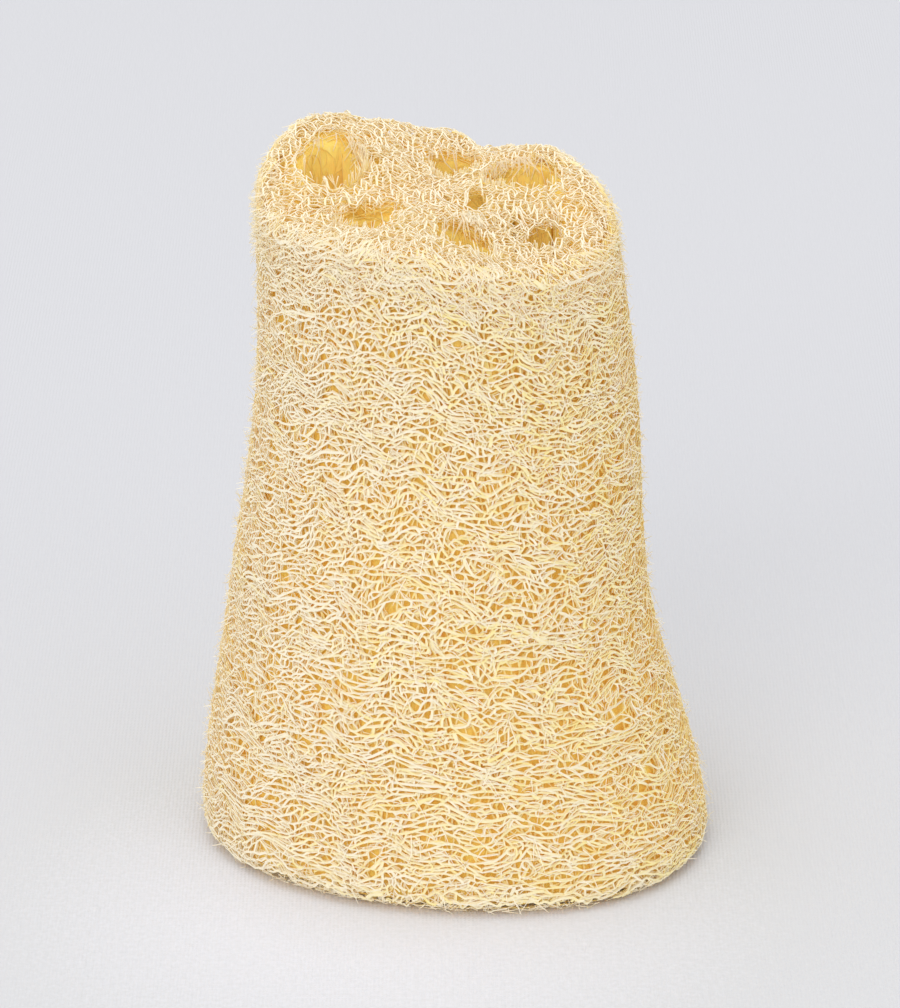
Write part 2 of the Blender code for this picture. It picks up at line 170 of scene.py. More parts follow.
def plain_radius(angle, z):
    """How far the outside is from the pole, which is the fruit's own middle line."""
    half_width, half_depth = along(WIDTHS, z) / 2, along(DEPTHS, z) / 2
    oval = half_width * half_depth / np.hypot(half_depth * np.cos(angle), half_width * np.sin(angle))
    ridge = RIDGE_HEIGHT * np.cos(RIDGE_COUNT * angle + RIDGE_TURN)
    heel = HEEL_BULGE * np.exp(-((turn_between(angle, HEEL_ANGLE) / HEEL_SPREAD) ** 2))
    return oval + ridge + heel * np.maximum(1 - z / LENGTH, 0) ** 2


def middle_of_foot():
    turns = np.radians(np.arange(360))
    radius = plain_radius(turns, np.zeros(360))
    x, y = radius * np.cos(turns), radius * np.sin(turns)
    return (x.min() + x.max()) / 2, (y.min() + y.max()) / 2


FOOT_MIDDLE = middle_of_foot()


def polar(x, y):
    return np.arctan2(y, x), np.hypot(x, y)


def from_pole(angle, radius, z):
    """Points in space, from their angle and distance round the pole."""
    x = along(LEANS, z) - FOOT_MIDDLE[0] + radius * np.cos(angle)
    return np.stack((x, radius * np.sin(angle) - FOOT_MIDDLE[1], z), -1)


def lumps(across, back):
    """How much higher the cut is than a plain one, at places in its plan."""
    return sum(
        height * MM * np.exp(-((across - x * MM) ** 2 + (back - y * MM) ** 2) / (extent * MM) ** 2)
        for x, y, extent, height in LUMPS
    )


def cut_height(angle, rim_radius):
    reach = np.minimum(rim_radius / (WIDTHS[3] / 2), 1)
    dip = CUT_DIP * reach * np.sin(3 * angle + CUT_DIP_TURN)
    across, back = rim_radius * np.cos(angle), rim_radius * np.sin(angle)
    return LENGTH + CUT_SLOPE_RIGHT * across + CUT_SLOPE_BACK * back + dip + lumps(across, back)


def quarter_round(near):
    return 1 - np.sqrt(1 - np.clip(near, 0, 1) ** 2)


def rim_reach(angle):
    return plain_radius(angle, np.full_like(angle, LENGTH))


def rim_height(angle):
    return cut_height(angle, rim_reach(angle) - RIM_ROUNDING)


def skin(angle, share, inset):
    """Points on the fruit's outside, or this far inside it, at shares of the way up to the cut."""
    top = rim_height(angle)
    z = share * top
    softened = RIM_ROUNDING * quarter_round((z - top) / RIM_ROUNDING + 1)
    softened = softened + FOOT_DRAW * quarter_round(1 - z / FOOT_ROUNDING)
    return from_pole(angle, plain_radius(angle, z) - softened - inset, z)


def channel_plan():
    """Each channel's name, start, depth, lowest and highest angle, and the open share of its mouth."""
    plans = []
    for i, (name, (start, depth, mouth)) in enumerate(CHANNELS.items()):
        halfway = start + depth / 2
        before, after = DIVIDERS[i], DIVIDERS[(i + 1) % 6]
        full_turn = math.tau if i == 5 else 0
        low = math.radians(before[0]) + before[1] / 2 / halfway
        high = math.radians(after[0]) + full_turn - after[1] / 2 / halfway
        plans.append((name, start * MM, depth * MM, low, high, mouth))
    return plans


PLANS = channel_plan()


def inside(angle, rim_radius, share):
    """Points inside the fruit, on straight lines from the foot to where they come out at the cut."""
    foot = from_pole(angle, rim_radius * CHANNEL_SPREAD, np.zeros_like(rim_radius))
    rim = from_pole(angle, rim_radius, cut_height(angle, rim_radius))
    return foot + (rim - foot) * share[:, None]


def channel_wall(plan, turn, share, inset):
    """Points on a channel's wall, at a turn round it and a share of the way up, this far into it."""
    _, start, depth, low, high, _ = plan
    power = 2 / CHANNEL_ROUNDNESS
    cosine, sine = np.cos(turn), np.sin(turn)
    half_angle, half_depth = (high - low) / 2, depth / 2
    middle = start + half_depth
    thin_angle = half_angle - inset / middle
    angle = (low + high) / 2 + thin_angle * np.sign(cosine) * np.abs(cosine) ** power
    radius = middle + (half_depth - inset) * np.sign(sine) * np.abs(sine) ** power
    return inside(angle, radius, share)


def in_channel(angle, radius):
    """How far inside a channel each point of the rim's plan is: under 1 is inside."""
    least = np.full_like(angle, 9.0)
    for _, start, depth, low, high, mouth in PLANS:
        across = turn_between(angle, (low + high) / 2) / ((high - low) / 2)
        level = (radius - start) / depth * 2 - 1
        powers = np.abs(across) ** CHANNEL_ROUNDNESS + np.abs(level) ** CHANNEL_ROUNDNESS
        least = np.minimum(least, powers ** (1 / CHANNEL_ROUNDNESS) / mouth)
    return least


# Networks of fibres


def ripples(x, y, size, seed, girth=None):
    """Smooth noise from -1 to 1 over a plane. With a girth, it meets itself after one turn."""
    rng = np.random.default_rng(seed)
    total = np.zeros_like(x)
    for _ in range(7):
        wave_x, wave_y = rng.normal(0, 1 / size, 2)
        if girth:
            wave_x = round(wave_x * girth) / girth
        total += np.sin(math.tau * (wave_x * x + wave_y * y) + rng.uniform(0, math.tau))
    return total / 4


def short_way(steps, girth):
    """Steps over a net, taken the short way round where it is closed."""
    if girth:
        steps[..., 0] = np.mod(steps[..., 0] + girth / 2, girth) - girth / 2
    return steps


def net_of_cells(width, height, cell, stretch, seed, closed, rungs=1.0):
    """Points and point pairs of an irregular net whose gaps are about this high and stretched sideways.

    Of the pairs that go steeply up, only this share of rungs is kept.
    """
    rng = np.random.default_rng(seed)
    flat_width = width / stretch
    columns, rows = round(flat_width / cell), round(height / (cell * 0.87)) + 1
    i, j = np.meshgrid(np.arange(columns), np.arange(rows))
    across = (i + 0.5 * (j % 2)).ravel() / columns
    up = (j.ravel() + 0.5) / rows
    across = across + rng.uniform(-0.55, 0.55, across.size) / columns
    up = up + rng.uniform(-0.55, 0.55, up.size) / rows
    keep = rng.random(across.size) > 0.18 + 0.2 * ripples(across * flat_width, up * height, 7 * cell, seed)
    sites = np.stack((np.mod(across, 1)[keep] * flat_width, up[keep] * height), -1)
    if closed:
        margin = 4 * cell
        left, right = sites[:, 0] < margin, sites[:, 0] > flat_width - margin
        shift = np.array((flat_width, 0))
        sites = np.concatenate((sites, sites[left] + shift, sites[right] - shift))
    flat = delaunay_2d_cdt([Vector(site / cell) for site in sites], [], [], 0, 1e-7, False)
    corners = np.array([tuple(point) for point in flat[0]]) * cell
    triangles = np.array(flat[2])
    middles = corners[triangles].mean(1) * (stretch, 1)
    sides = np.sort(triangles[:, [0, 1, 1, 2, 2, 0]].reshape(-1, 2), 1)
    owner = np.repeat(np.arange(len(triangles)), 3)
    order = np.lexsort((sides[:, 1], sides[:, 0]))
    sides, owner = sides[order], owner[order]
    twin = np.nonzero((sides[1:] == sides[:-1]).all(1))[0]
    pairs = np.stack((owner[twin], owner[twin + 1]), -1)
    halfway = middles[pairs].mean(1)
    inside_sheet = (halfway[:, 1] > 0) & (halfway[:, 1] < height)
    if closed:
        inside_sheet &= (halfway[:, 0] >= 0) & (halfway[:, 0] < width)
    way = np.diff(middles[pairs], axis=1)[:, 0]
    reach = np.linalg.norm(way, axis=1)
    steep = np.abs(way[:, 1]) > 0.7 * reach
    gone = (steep & (rng.random(len(pairs)) > rungs)) | (reach > 6 * cell * stretch)
    pairs = pairs[inside_sheet & ~gone]
    if closed:
        # The points past the two ends are the same as those a turn away
        middles[:, 0] = np.mod(middles[:, 0], width)
        places = np.round(middles / (0.01 * MM)).astype(int)
        _, first, same = np.unique(places, axis=0, return_index=True, return_inverse=True)
        middles, pairs = middles[first], same.ravel()[pairs]
    return middles, pairs


def strands_of_net(points, pairs, girth=None):
    """The net's lines, as long runs of points: at each knot, the two straightest lines are one fibre."""
    half_from = pairs.ravel()
    half_to = pairs[:, ::-1].ravel()
    order = np.argsort(half_from, kind="stable")
    starts = np.searchsorted(half_from[order], np.arange(len(points) + 1))
    direction = short_way(points[half_to] - points[half_from], girth)
    direction /= np.linalg.norm(direction, axis=1)[:, None] + 1e-12
    follow = np.full(len(half_from), -1)
    degree = np.diff(starts)
    knots = np.nonzero(degree == 3)[0]
    trio = order[starts[knots][:, None] + np.arange(3)]
    choices = ((0, 1), (0, 2), (1, 2))
    dots = np.stack([(direction[trio[:, a]] * direction[trio[:, b]]).sum(1) for a, b in choices])
    best = dots.argmin(0)
    for k, (a, b) in enumerate(choices):
        chosen = best == k
        follow[trio[chosen, a]] = trio[chosen, b]
        follow[trio[chosen, b]] = trio[chosen, a]
    passing = np.nonzero(degree == 2)[0]
    first, second = order[starts[passing]], order[starts[passing] + 1]
    follow[first], follow[second] = second, first
    strands, used = [], np.zeros(len(pairs), bool)
    ends = np.nonzero(follow == -1)[0]
    for half in list(ends) + list(range(0, len(half_from), 2)):
        if used[half // 2]:
            continue
        run = [half_from[half]]
        while half != -1 and not used[half // 2]:
            used[half // 2] = True
            run.append(half_to[half])
            half = follow[half ^ 1]
        strands.append(np.array(run))
    return strands


def eased_net(points, pairs, seed, girth=None):
    """The net's points and fibres, where fibres run smoothly and lean along the ones that they end on."""
    strands = strands_of_net(points, pairs, girth)
    points = points.copy()

    def towards(start, end):
        return short_way(points[end] - points[start], girth)

    before = np.concatenate([strand[:-2] for strand in strands])
    middle = np.concatenate([strand[1:-1] for strand in strands])
    after = np.concatenate([strand[2:] for strand in strands])
    for _ in range(3):
        points[middle] += 0.25 * (towards(middle, before) + towards(middle, after))
    through = np.full((len(points), 2), -1)
    through[middle] = np.stack((before, after), -1)
    rng = np.random.default_rng(seed)
    knots = np.array([(strand[0], strand[-1]) for strand in strands])
    lasts = np.array([(strand[1], strand[-2]) for strand in strands])
    onward = through[knots]
    going = towards(lasts, knots)
    bends = points[knots] - 0.22 * going
    going += rng.normal(0, 0.3, going.shape) * np.linalg.norm(going, axis=-1)[..., None]
    turns = (towards(knots[:, :, None], onward) * going[:, :, None]).sum(-1)
    chosen = np.take_along_axis(onward, turns.argmax(-1)[..., None], -1)[..., 0]
    along_other = towards(knots, chosen)
    tips = points[knots] + 0.6 * along_other
    bends += 0.12 * along_other
    joins = (onward[..., 0] >= 0) & (rng.random(knots.shape) < JOINED_SHARE)
    first_tip = len(points)
    first_bend = first_tip + knots.size
    longer = []
    for k, strand in enumerate(strands):
        strand = list(strand)
        if joins[k, 0]:
            strand[:1] = [first_tip + 2 * k, first_bend + 2 * k]
        if joins[k, 1]:
            strand[-1:] = [first_bend + 2 * k + 1, first_tip + 2 * k + 1]
        longer.append(np.array(strand))
    return np.concatenate((points, tips.reshape(-1, 2), bends.reshape(-1, 2))), longer


class Bundle:
    """Fibres that are swept together: their points, thickness and tone, and where their flat side turns.

    It turns outwards, which is away from the fruit's middle, or where the bundle or the fibre says.
    """

    def __init__(self, outwards=None):
        self.outwards = outwards
        self.points, self.thick, self.tone, self.out = [], [], [], []

    def add(self, points, thick, tone, out=None):
        """Adds one run of points. Thickness is a share of the usual, and tone goes from pale to golden."""
        if out is None:
            out = points * (1, 1, 0) if self.outwards is None else self.outwards
        self.points.append(points)
        self.thick.append(np.broadcast_to(thick, len(points)))
        self.tone.append(np.broadcast_to(tone, len(points)))
        self.out.append(np.broadcast_to(out, points.shape))

    def flat_sides(self, points, here, first, last):
        """Which way each point turns its flat side, square to the fibre from its first to its last."""
        way = points[np.minimum(here + 1, last)] - points[np.maximum(here - 1, first)]
        way /= np.linalg.norm(way, axis=1)[:, None] + 1e-12
        side = np.concatenate(self.out)
        side = side / (np.linalg.norm(side, axis=1)[:, None] + 1e-12) + 1e-3
        side -= (side * way).sum(1)[:, None] * way
        return side / np.linalg.norm(side, axis=1)[:, None]

    def mesh(self, name):
        """The fibres' middle lines as a mesh of edges."""
        points = np.concatenate(self.points)
        points[:, 2] = np.maximum(points[:, 2], LOWEST_FIBRE)
        lengths = np.array([len(run) for run in self.points])
        here = np.arange(len(points))
        last = np.repeat(lengths.cumsum() - 1, lengths)
        first = last + 1 - np.repeat(lengths, lengths)
        sides = self.flat_sides(points, here, first, last)
        data = bpy.data.meshes.new(name)
        data.vertices.add(len(points))
        data.vertices.foreach_set("co", points.astype(np.float32).ravel())
        side = data.attributes.new("side", "FLOAT_VECTOR", "POINT")
        side.data.foreach_set("vector", sides.astype(np.float32).ravel())
        starts = here[here < last]
        data.edges.add(len(starts))
        data.edges.foreach_set("vertices", np.stack((starts, starts + 1), -1).astype(np.int32).ravel())
        for field, values in (("thick", self.thick), ("tone", self.tone)):
            attribute = data.attributes.new(field, "FLOAT", "POINT")
            attribute.data.foreach_set("value", np.concatenate(values).astype(np.float32))
        return data


# Node trees


def both_ways(operation):
    """An operator of Value, and its reflected form."""
    return (
        lambda value, other: value._math(operation, value, other),
        lambda value, other: value._math(operation, other, value),
    )


class Value:
    """An output socket that takes part in sums and products, each of which adds a Math node."""

    def __init__(self, nodes, socket):
        self.nodes, self.socket = nodes, socket

    def _math(self, operation, *terms):
        return self.nodes.add("ShaderNodeMath", {"operation": operation}, dict(enumerate(terms)))

    __add__, __radd__ = both_ways("ADD")
    __sub__, __rsub__ = both_ways("SUBTRACT")
    __mul__, __rmul__ = both_ways("MULTIPLY")
    __truediv__, __rtruediv__ = both_ways("DIVIDE")
    __pow__, __rpow__ = both_ways("POWER")

    def fraction(self):
        return self._math("FRACT", self)

    def clamped(self):
        return self.nodes.add("ShaderNodeClamp", {}, {"Value": self})


class NodeTree:
    """A node tree that is written out one node at a time."""

    def __init__(self, tree):
        self.tree = tree

    def add(self, kind, settings, sockets, output=0):
        """Adds a node, sets it up, and gives it values or links. Returns one of its outputs."""
        node = self.tree.nodes.new(kind)
        for name, value in settings.items():
            if name == "stops":
                self._set_stops(node.color_ramp, value)
            else:
                setattr(node, name, value)
        for name, value in sockets.items():
            if isinstance(value, Value):
                self.tree.links.new(value.socket, node.inputs[name])
            else:
                node.inputs[name].default_value = value
        return Value(self, node.outputs[output]) if node.outputs else node

    def _set_stops(self, ramp, stops):
        while len(ramp.elements) < len(stops):
            ramp.elements.new(1)
        for element, (position, colour) in zip(ramp.elements, stops):
            element.position = position
            element.color = (*colour, 1)


def new_material(name):
    material = bpy.data.materials.new(name)
    material.use_nodes = True
    material.node_tree.nodes.clear()
    return material, NodeTree(material.node_tree)


def tinted(colour, shares):
    return tuple(channel * share for channel, share in zip(colour, shares))


def finish_material(nodes, sockets):
    """Ends a material in a Principled shader with these sockets."""
    shader = nodes.add("ShaderNodeBsdfPrincipled", {}, sockets)
    nodes.add("ShaderNodeOutputMaterial", {}, {"Surface": shader})


def fibre_material(colours):
    """Dry plant fibre. Its tone, which carries painted shade on each fibre's inner side, and the place
    along the fibre come from its own map.
    """
    material, nodes = new_material("loofah_fibre")
    uv = nodes.add("ShaderNodeUVMap", {"uv_map": UV_NAME}, {})
    tone = nodes.add("ShaderNodeSeparateXYZ", {}, {"Vector": uv})
    stretched = nodes.add("ShaderNodeVectorMath", {"operation": "MULTIPLY"}, {0: uv, 1: (60, 14, 1)})
    noise = {"Vector": stretched, "Scale": 1, "Detail": 2}
    mottle = nodes.add("ShaderNodeTexNoise", {"noise_dimensions": "2D"}, noise)
    shade = (tone * TONE_SPAN - PALE_ROOM + (mottle - 0.5) * 0.16).clamped()
    stops = list(zip((0, 0.4, 1), colours))
    colour = nodes.add("ShaderNodeValToRGB", {"stops": stops}, {"Fac": shade})
    roughness = 0.5 + mottle * 0.25
    finish_material(nodes, {"Base Color": colour, "Roughness": roughness, "Specular IOR Level": 0.2})
    return material


def mat_material(colours):
    """The deep mat behind the fibres, where single threads are lost in the golden shade; its darker stops
    are painted shade.
    """
    material, nodes = new_material("loofah_mat")
    place = nodes.add("ShaderNodeTexCoord", {}, {}, output=3)
    fine = nodes.add("ShaderNodeVectorMath", {"operation": "MULTIPLY"}, {0: place, 1: (900, 900, 300)})
    noise = {"Vector": fine, "Scale": 1, "Detail": 3, "Distortion": 0.6}
    threads = nodes.add("ShaderNodeTexNoise", {}, noise)
    patches = nodes.add("ShaderNodeTexNoise", {}, {"Vector": place, "Scale": 260, "Detail": 2})
    shade = ((threads - 0.5) * 1.1 + (patches - 0.5) * 0.8 + 0.5).clamped()
    _, straw, golden = colours
    # Its tone varies at random with the noise, and its two darker stops are painted shade, which darkens
    # the pores and channels that it closes
    painted_shade_darkest, deep = tinted(golden, (0.97, 0.72, 0.6)), tinted(golden, (1.0, 0.9, 0.9))
    stops = [(0, painted_shade_darkest), (0.3, deep), (0.7, golden), (1, straw)]
    colour = nodes.add("ShaderNodeValToRGB", {"stops": stops}, {"Fac": shade})
    normal = nodes.add("ShaderNodeBump", {}, {"Height": threads, "Strength": 0.8, "Distance": 0.5 * MM})
    looks = {"Base Color": colour, "Roughness": 0.6, "Normal": normal, "Specular IOR Level": 0.3}
    finish_material(nodes, looks)
    return material


def sweep_tree():
    """The Geometry Nodes that turn lines into fibres and lay out their map."""
    tree = bpy.data.node_groups.new("fibre_sweep", "GeometryNodeTree")
    inputs = {"Lines": "Geometry", "Thickness": "Float", "Bends": "Int", "Material": "Material"}
    for name, kind in inputs.items():
        tree.interface.new_socket(name, in_out="INPUT", socket_type="NodeSocket" + kind)
    tree.interface.new_socket("Fibres", in_out="OUTPUT", socket_type="NodeSocketGeometry")
    nodes = NodeTree(tree)
    group = tree.nodes.new("NodeGroupInput")
    given = {socket.name: Value(nodes, socket) for socket in group.outputs if socket.name}

    def store(geometry, name, value, domain="POINT", kind="FLOAT"):
        settings = {"data_type": kind, "domain": domain}
        sockets = {"Geometry": geometry, "Name": name, "Value": value}
        return nodes.add("GeometryNodeStoreNamedAttribute", settings, sockets)

    def stored(name, kind="FLOAT"):
        return nodes.add("GeometryNodeInputNamedAttribute", {"data_type": kind}, {"Name": name})

    lines = nodes.add("GeometryNodeMeshToCurve", {}, {"Mesh": given["Lines"]})
    curves = nodes.add("GeometryNodeCurveSplineType", {"spline_type": "CATMULL_ROM"}, {"Curve": lines})
    fineness = {"Geometry": curves, "Resolution": given["Bends"]}
    curves = nodes.add("GeometryNodeSetSplineResolution", {}, fineness)
    side = stored("side", "FLOAT_VECTOR")
    curves = nodes.add("GeometryNodeSetCurveNormal", {"mode": "FREE"}, {"Curve": curves, "Normal": side})
    length = nodes.add("GeometryNodeSplineParameter", {}, {}, output=1)
    curves = store(curves, "along", length)
    # A flattened triangle: its first corner is the inner one, and the side across from it faces outwards
    ring = nodes.add("GeometryNodeCurvePrimitiveCircle", {}, {"Resolution": 3, "Radius": 0.5})
    # The round value is 1 at the inner corner, where the tone gets its painted shade
    ring = store(ring, "round", (1 - nodes.add("GeometryNodeSplineParameter", {}, {}) * 1.5) ** 3)
    flattened = {"Geometry": ring, "Rotation": (0, 0, math.pi), "Scale": (0.75, 1.12, 1)}
    ring = nodes.add("GeometryNodeTransform", {}, flattened)
    thick = stored("thick") * given["Thickness"]
    swept = {"Curve": curves, "Profile Curve": ring, "Scale": thick, "Fill Caps": True}
    fibres = nodes.add("GeometryNodeCurveToMesh", {}, swept)
    # Painted shade: the inner side of each fibre adds gold to its tone
    across = (stored("tone") + stored("round") * PAINTED_SHADE_GOLD + PALE_ROOM) / TONE_SPAN
    place = nodes.add("ShaderNodeCombineXYZ", {}, {"X": across, "Y": (stored("along") * 45).fraction()})
    fibres = store(fibres, UV_NAME, place, "CORNER", "FLOAT2")
    fibres = nodes.add("GeometryNodeSetShadeSmooth", {}, {"Geometry": fibres, "Shade Smooth": True})
    fibres = nodes.add("GeometryNodeRealizeInstances", {}, {"Geometry": fibres})
    fibres = nodes.add("GeometryNodeSetMaterial", {}, {"Geometry": fibres, "Material": given["Material"]})
    output = tree.nodes.new("NodeGroupOutput")
    tree.links.new(fibres.socket, output.inputs["Fibres"])
    return tree


def fibre_colours(settings):
    return tuple(settings.pale), tuple(settings.straw), tuple(settings.golden)


def new_object(name, data):
    """An object at the origin, in the scene."""
    made = bpy.data.objects.new(name, data)
    bpy.context.scene.collection.objects.link(made)
    return made


def sweep(bundle, name, bends=1):
    """Sweeps a bundle's fibres into one plain mesh object, which rides on the root."""
    settings = bpy.context.scene.loofah_fibres
    material = bpy.data.materials.get("loofah_fibre") or fibre_material(fibre_colours(settings))
    tree = bpy.data.node_groups.get("fibre_sweep") or sweep_tree()
    source = new_object(name + "_lines", bundle.mesh(name + "_lines"))
    modifier = source.modifiers.new("sweep", "NODES")
    modifier.node_group = tree
    values = {"Thickness": settings.thickness, "Bends": bends, "Material": material}
    for item in tree.interface.items_tree:
        if item.name in values:
            modifier[item.identifier] = values[item.name]
    evaluated = source.evaluated_get(bpy.context.evaluated_depsgraph_get())
    mesh = bpy.data.meshes.new_from_object(evaluated)
    bpy.data.objects.remove(source)
    mesh.name = name
    # A fibre is smooth along its length, with three plain sides
    mesh.set_sharp_from_angle(angle=FIBRE_EDGE)
    for field in ("thick", "tone", "along", "round", "side", "custom_normal"):
        if field in mesh.attributes:
            mesh.attributes.remove(mesh.attributes[field])
    piece = new_object(name, mesh)
    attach(piece, "root")
    return piece


# The pieces


# The outside's nets are laid flat, on a strip as long as the fruit is round, and cut at both ends
GIRTH = 285 * MM
CUT_OFF = 6 * MM
# The larger pores: how many, and half their usual width in mm
PORE_COUNT, PORE_HALF_WIDTH, PORE_SEED = 1100, 1.2, 55
LIT_SIDE_ANGLE, LIT_SIDE_SPREAD = math.radians(208), math.radians(42)


def lit_side(angle):
    """From 0 to 1, how near an angle is to the fruit's left side, where the light falls: there the fibres
    are painted paler, as painted light.
    """
    return np.exp(-((turn_between(angle, LIT_SIDE_ANGLE) / LIT_SIDE_SPREAD) ** 2))


def open_pores(points):
    """Parts the fibres round the larger pores, which lie at the same places in each layer."""
    rng = np.random.default_rng(PORE_SEED)
    u, v = points.T
    for _ in range(PORE_COUNT):
        middle_u, middle_v = rng.uniform(0, GIRTH), rng.uniform(0, LENGTH)
        half_width = rng.lognormal(math.log(PORE_HALF_WIDTH), 0.3) * MM
        half_height = half_width * rng.uniform(0.35, 0.65)
        lean = rng.normal(0, 0.25)
        # Few of them are on the lit side
        if rng.random() < 0.8 * lit_side(middle_u / GIRTH * math.tau):
            continue
        across = np.mod(u - middle_u + GIRTH / 2, GIRTH) - GIRTH / 2
        near = np.nonzero((np.abs(across) < 3 * half_width) & (np.abs(v - middle_v) < 3 * half_width))[0]
        x = across[near] / half_width
        y = (v[near] - middle_v - lean * across[near]) / half_height
        reach = np.hypot(x, y) + 1e-6
        wider = np.where(reach < 2, np.sqrt(1 + 0.85 * reach * reach) / reach, 1)
        u[near] += (wider - 1) * x * half_width
        v[near] += (wider - 1) * (y * half_height + lean * x * half_width)


def surface_net(bundles, seed, cell, stretch, rungs, stray, inset, rough, tone, thick):
    """Lays one closed net round the fruit, this far inside its skin, and deals it out to bundles.

    Two nets of the same seed and cell have the same gaps, but for how far one of them strays.
    """
    rng = np.random.default_rng(seed)
    points, pairs = net_of_cells(GIRTH, LENGTH + 2 * CUT_OFF, cell, stretch, seed, True, rungs)
    points[:, 1] -= CUT_OFF
    inner = (points[:, 1] > 0.5 * MM) & (points[:, 1] < LENGTH - 0.5 * MM)
    open_pores(points)
    points, strands = eased_net(points, pairs[inner[pairs].all(1)], seed, GIRTH)
    u, v = points.T

    def sway(amount, size, number):
        return amount * ripples(u, v, size, number, GIRTH)

    v2 = v + sway(1.4 * MM, 24 * MM, 12) + sway(stray, 4 * MM, 15)
    u2 = u + sway(1.4 * MM, 20 * MM, 13) + sway(stray, 4 * MM, 16)
    # The lowest fibres are the most uneven
    v2 = v2 + sway(0.9 * MM, 5 * MM, 14) * np.exp(-v / (5 * MM))
    share = np.clip(0.004 + 0.996 * v2 / LENGTH, 0.004, 1)
    angle = u2 / GIRTH * math.tau
    level = ripples(u2, v2, 3.2 * MM, seed + 3, GIRTH)
    placed = skin(angle, share, inset + rough * level)
    # Fibres that lie deeper are more golden
    # Painted light: the fibres on the left side, where the light falls, are painted paler
    patch = 0.08 * ripples(u2, v2, 15 * MM, seed + 4, GIRTH) + 0.12 * level - 0.25 * lit_side(angle)
    lost = (v2 < 0.5 * MM * (1 + ripples(u2, v2, 5 * MM, 3, GIRTH))) | (v2 > LENGTH)
    for strand in strands:
        if lost[strand].any():
            continue
        middle = np.mod(angle[strand[len(strand) // 2]] + math.pi / 4, math.tau)
        bundle = bundles[int(middle / math.tau * len(bundles)) % len(bundles)]
        shade = np.clip(tone + rng.normal(0, 0.12) + patch[strand], -PALE_ROOM, 1)
        bundle.add(placed[strand], thick * rng.lognormal(0, 0.28), shade)


class LOOFAH_OT_outer_fibres(bpy.types.Operator):
    """Lays the nets of fibres that run round the fruit"""

    bl_idname = "loofah.outer_fibres"
    bl_label = "Fibres round the outside"

    def execute(self, context):
        settings = context.scene.loofah_fibres
        fine = dict(seed=11, cell=settings.pore, stretch=settings.stretch, rungs=0.9, rough=0.25 * MM)
        coarse = dict(seed=37, cell=2.6 * MM, stretch=0.55, rungs=1, rough=0.4 * MM)
        names = ("right", "right_back", "left_back", "left", "left_front", "right_front")
        hoops = self.lay("hoop", names, **fine, stray=0, inset=0.45 * MM, tone=0.17, thick=1)
        names = ("right", "back", "left", "front")
        crosses = self.lay("cross", names, **fine, stray=0.35 * MM, inset=0.85 * MM, tone=0.1, thick=1.05)
        names = ("right_and_back", "left_and_front")
        lengthwise = self.lay("lengthwise", names, **coarse, stray=0, inset=1.4 * MM, tone=0.4, thick=0.95)
        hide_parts("outer_net")
        return {"FINISHED"}

    def lay(self, kind, names, **net):
        """One net, as a piece for each side of the fruit."""
        bundles = [Bundle() for _ in names]
        surface_net(bundles, **net)
        return {name: sweep(bundle, f"{kind}_fibres_{name}") for name, bundle in zip(names, bundles)}


# How far the mat ends below the solids' cut, in the wall and inside it, and above their foot
WALL_DROP, INSIDE_DROP, FOOT_ROOM = 3.2 * MM, 4.2 * MM, 0.6 * MM
# How far its sides are drawn in, and how far its outer face, past this radius, is filled out
WALL_INSET, INSIDE_INSET, FILLED_OUT, OUTER_RADIUS = 0.1 * MM, 0.05 * MM, 0.5 * MM, 30 * MM


class LOOFAH_OT_inner_mat(bpy.types.Operator):
    """Makes the deep mat that closes the view between the fibres"""

    bl_idname = "loofah.inner_mat"
    bl_label = "Deep mat"

    def execute(self, context):
        material = mat_material(fibre_colours(context.scene.loofah_fibres))
        for node in ("wall_mat", "core") + DIVIDER_NODES:
            piece = self.drawn_in(node)
            piece.data.materials.clear()
            piece.data.materials.append(material)
            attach(piece, "root")
            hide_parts(node)
        return {"FINISHED"}

    def drawn_in(self, node):
        """A copy of a solid, lowered at the cut to leave room for fibres, and closed up behind the nets."""
        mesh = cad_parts[node].data.copy()
        work = bmesh.new()
        work.from_mesh(mesh)
        bmesh.ops.remove_doubles(work, verts=work.verts, dist=0.01 * MM)
        bmesh.ops.recalc_face_normals(work, faces=work.faces)
        work.normal_update()
        pole = from_pole(0.0, 0.0, LENGTH)
        is_wall = node == "wall_mat"
        inset, drop = (WALL_INSET, WALL_DROP) if is_wall else (INSIDE_INSET, INSIDE_DROP)
        moves = {}
        for vertex in work.verts:
            sideways = Vector((vertex.normal.x, vertex.normal.y, 0))
            outwards = sideways.dot(Vector((vertex.co.x, vertex.co.y, 0)).normalized())
            filled = is_wall and outwards > 0.5 and vertex.co.to_2d().length > OUTER_RADIUS
            moves[vertex] = sideways * (FILLED_OUT if filled else -inset)
        for vertex, move in moves.items():
            vertex.co += move
            lump = lumps(vertex.co.x - pole[0], vertex.co.y - pole[1]) * (vertex.co.z / LENGTH) ** 4
            vertex.co.z = FOOT_ROOM + vertex.co.z * (1 - drop / LENGTH) + lump
        work.to_mesh(mesh)
        work.free()
        mesh.shade_smooth()
        mesh.set_sharp_from_angle(angle=MAT_EDGE)
        return new_object("deep_" + node, mesh)


# The net that becomes each channel's lining, and how far inwards its flat sides look
LINING_GIRTH, LINING_LENGTH, LOOK_IN = 40 * MM, 136 * MM, 3 * MM


